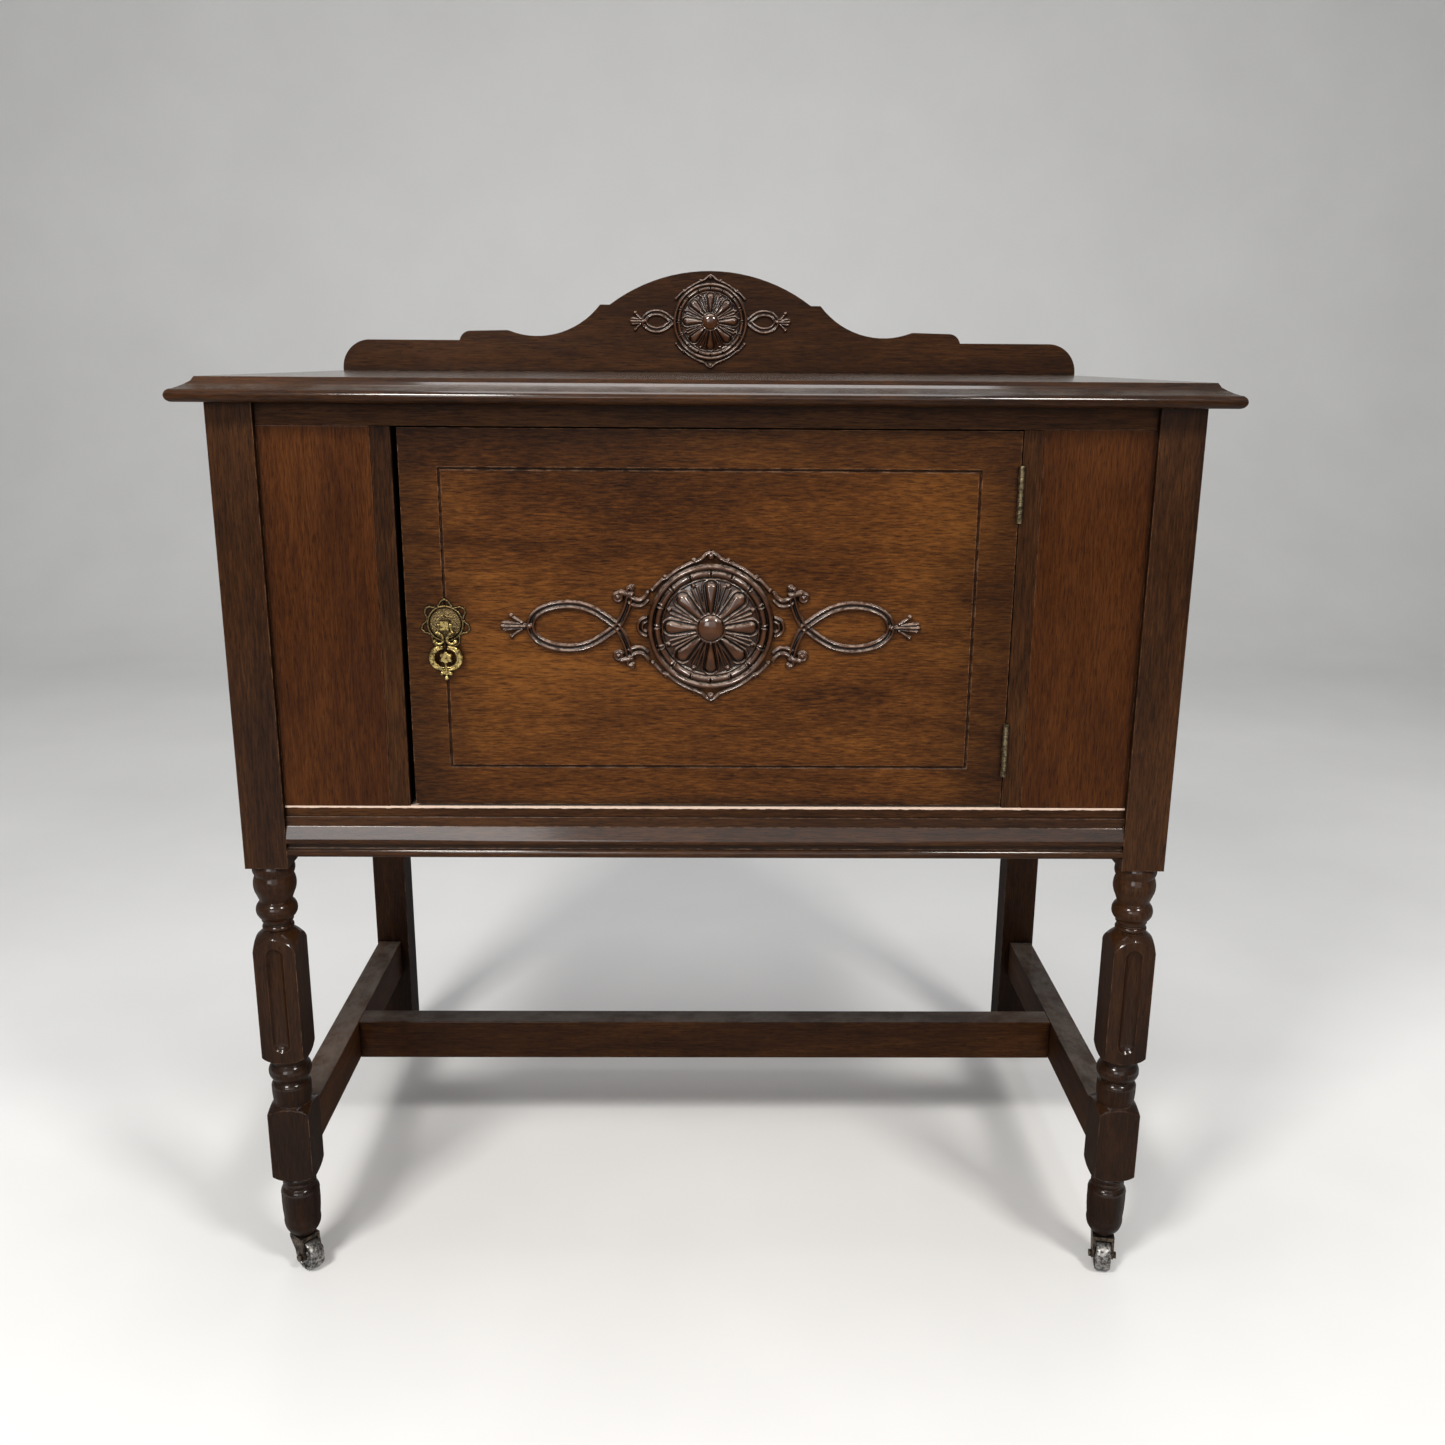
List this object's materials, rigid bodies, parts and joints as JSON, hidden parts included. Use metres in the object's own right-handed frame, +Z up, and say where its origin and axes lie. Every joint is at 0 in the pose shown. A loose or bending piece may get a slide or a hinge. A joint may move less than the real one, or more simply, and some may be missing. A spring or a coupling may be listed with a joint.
{
  "type": "sideboard cabinet",
  "caption": "Small sideboard cabinet on turned legs with casters, a moulded top, a shaped gallery board and one hinged door with a carved ornament and a drop pull.",
  "frame": {"origin": "on the floor, at the middle of the outer box", "axes": "+Z up, the door faces -Y, +X to the right as seen from the front"},
  "size_m": [0.93, 0.539, 1.024],
  "materials": {
    "stained_wood": "dark walnut stain under an aged gloss lacquer",
    "door_veneer": "figured walnut veneer, toned darker at its edges, aged gloss lacquer",
    "panel_veneer": "walnut veneer with upright grain, aged gloss lacquer",
    "inner_wood": "unfinished secondary wood",
    "carving": "carved, dark glossy lacquer",
    "aged_brass": "antiqued cast brass",
    "hinge_brass": "dull brass",
    "caster_iron": "dark worn iron",
    "wheel_steel": "worn bright steel",
    "screw_steel": "plain steel"
  },
  "bodies": {
    "root": {"top_board": "stained_wood", "gallery_board": "stained_wood", "post_front_left": "stained_wood", "post_front_right": "stained_wood", "post_rear_left": "stained_wood", "post_rear_right": "stained_wood", "frieze_rail": "stained_wood", "lower_rail": "stained_wood", "side_rail_upper_left": "stained_wood", "side_rail_upper_right": "stained_wood", "side_rail_lower_left": "stained_wood", "side_rail_lower_right": "stained_wood", "base_moulding": "stained_wood", "jamb_left": "stained_wood", "jamb_right": "stained_wood", "side_stretcher_left": "stained_wood", "side_stretcher_right": "stained_wood", "centre_stretcher": "stained_wood", "front_panel_left": "panel_veneer", "front_panel_right": "panel_veneer", "side_panel_left": "panel_veneer", "side_panel_right": "panel_veneer", "rear_rail_upper": "inner_wood", "rear_rail_lower": "inner_wood", "back_panel": "inner_wood", "bottom_board": "inner_wood", "shelf": "inner_wood", "shelf_cleats": "inner_wood", "bottom_cleats": "inner_wood", "glue_blocks": "inner_wood", "door_stop": "inner_wood", "gallery_ornament": "carving", "hinge_leaves_jamb": "hinge_brass", "hinge_pins": "hinge_brass", "hinge_screws_jamb": "screw_steel", "top_screws": "screw_steel", "catch_clip": "screw_steel", "caster_sockets": "caster_iron"},
    "door": {"door_panel": "door_veneer", "door_ornament": "carving", "hinge_leaves_door": "hinge_brass", "hinge_screws_door": "screw_steel", "catch_strike": "screw_steel", "pull_plate": "aged_brass", "pull_post": "aged_brass", "pull_nut": "screw_steel"},
    "pull": {"pull_drop": "aged_brass"},
    "fork_front_left": {"caster_fork_front_left": "caster_iron", "caster_axle_front_left": "caster_iron"},
    "wheel_front_left": {"caster_wheel_front_left": "wheel_steel"},
    "fork_front_right": {"caster_fork_front_right": "caster_iron", "caster_axle_front_right": "caster_iron"},
    "wheel_front_right": {"caster_wheel_front_right": "wheel_steel"},
    "fork_rear_left": {"caster_fork_rear_left": "caster_iron", "caster_axle_rear_left": "caster_iron"},
    "wheel_rear_left": {"caster_wheel_rear_left": "wheel_steel"},
    "fork_rear_right": {"caster_fork_rear_right": "caster_iron", "caster_axle_rear_right": "caster_iron"},
    "wheel_rear_right": {"caster_wheel_rear_right": "wheel_steel"}
  },
  "joints": [
    {"name": "door_hinge", "type": "hinge", "parent": "root", "child": "door", "pos_m": [0.2798, -0.2416, 0.69], "axis": [0, 0, 1], "range_deg": [0, 165]},
    {"name": "pull_swing", "type": "hinge", "parent": "door", "child": "pull", "pos_m": [-0.2392, -0.2455, 0.6871], "axis": [-1, 0, 0], "range_deg": [0, 90]},
    {"name": "swivel_front_left", "type": "hinge", "parent": "root", "child": "fork_front_left", "pos_m": [-0.4195, -0.224, 0.05], "axis": [0, 0, 1], "continuous": true},
    {"name": "roll_front_left", "type": "hinge", "parent": "fork_front_left", "child": "wheel_front_left", "pos_m": [-0.41337, -0.22914, 0.016], "axis": [0.6428, 0.766, 0], "continuous": true},
    {"name": "swivel_front_right", "type": "hinge", "parent": "root", "child": "fork_front_right", "pos_m": [0.4195, -0.224, 0.05], "axis": [0, 0, 1], "continuous": true},
    {"name": "roll_front_right", "type": "hinge", "parent": "fork_front_right", "child": "wheel_front_right", "pos_m": [0.41811, -0.23188, 0.016], "axis": [0.9848, -0.1736, 0], "continuous": true},
    {"name": "swivel_rear_left", "type": "hinge", "parent": "root", "child": "fork_rear_left", "pos_m": [-0.4195, 0.245, 0.05], "axis": [0, 0, 1], "continuous": true},
    {"name": "roll_rear_left", "type": "hinge", "parent": "fork_rear_left", "child": "wheel_rear_left", "pos_m": [-0.4155, 0.23807, 0.016], "axis": [0.866, 0.5, 0], "continuous": true},
    {"name": "swivel_rear_right", "type": "hinge", "parent": "root", "child": "fork_rear_right", "pos_m": [0.4195, 0.245, 0.05], "axis": [0, 0, 1], "continuous": true},
    {"name": "roll_rear_right", "type": "hinge", "parent": "fork_rear_right", "child": "wheel_rear_right", "pos_m": [0.42464, 0.23887, 0.016], "axis": [0.766, 0.6428, 0], "continuous": true}
  ]
}
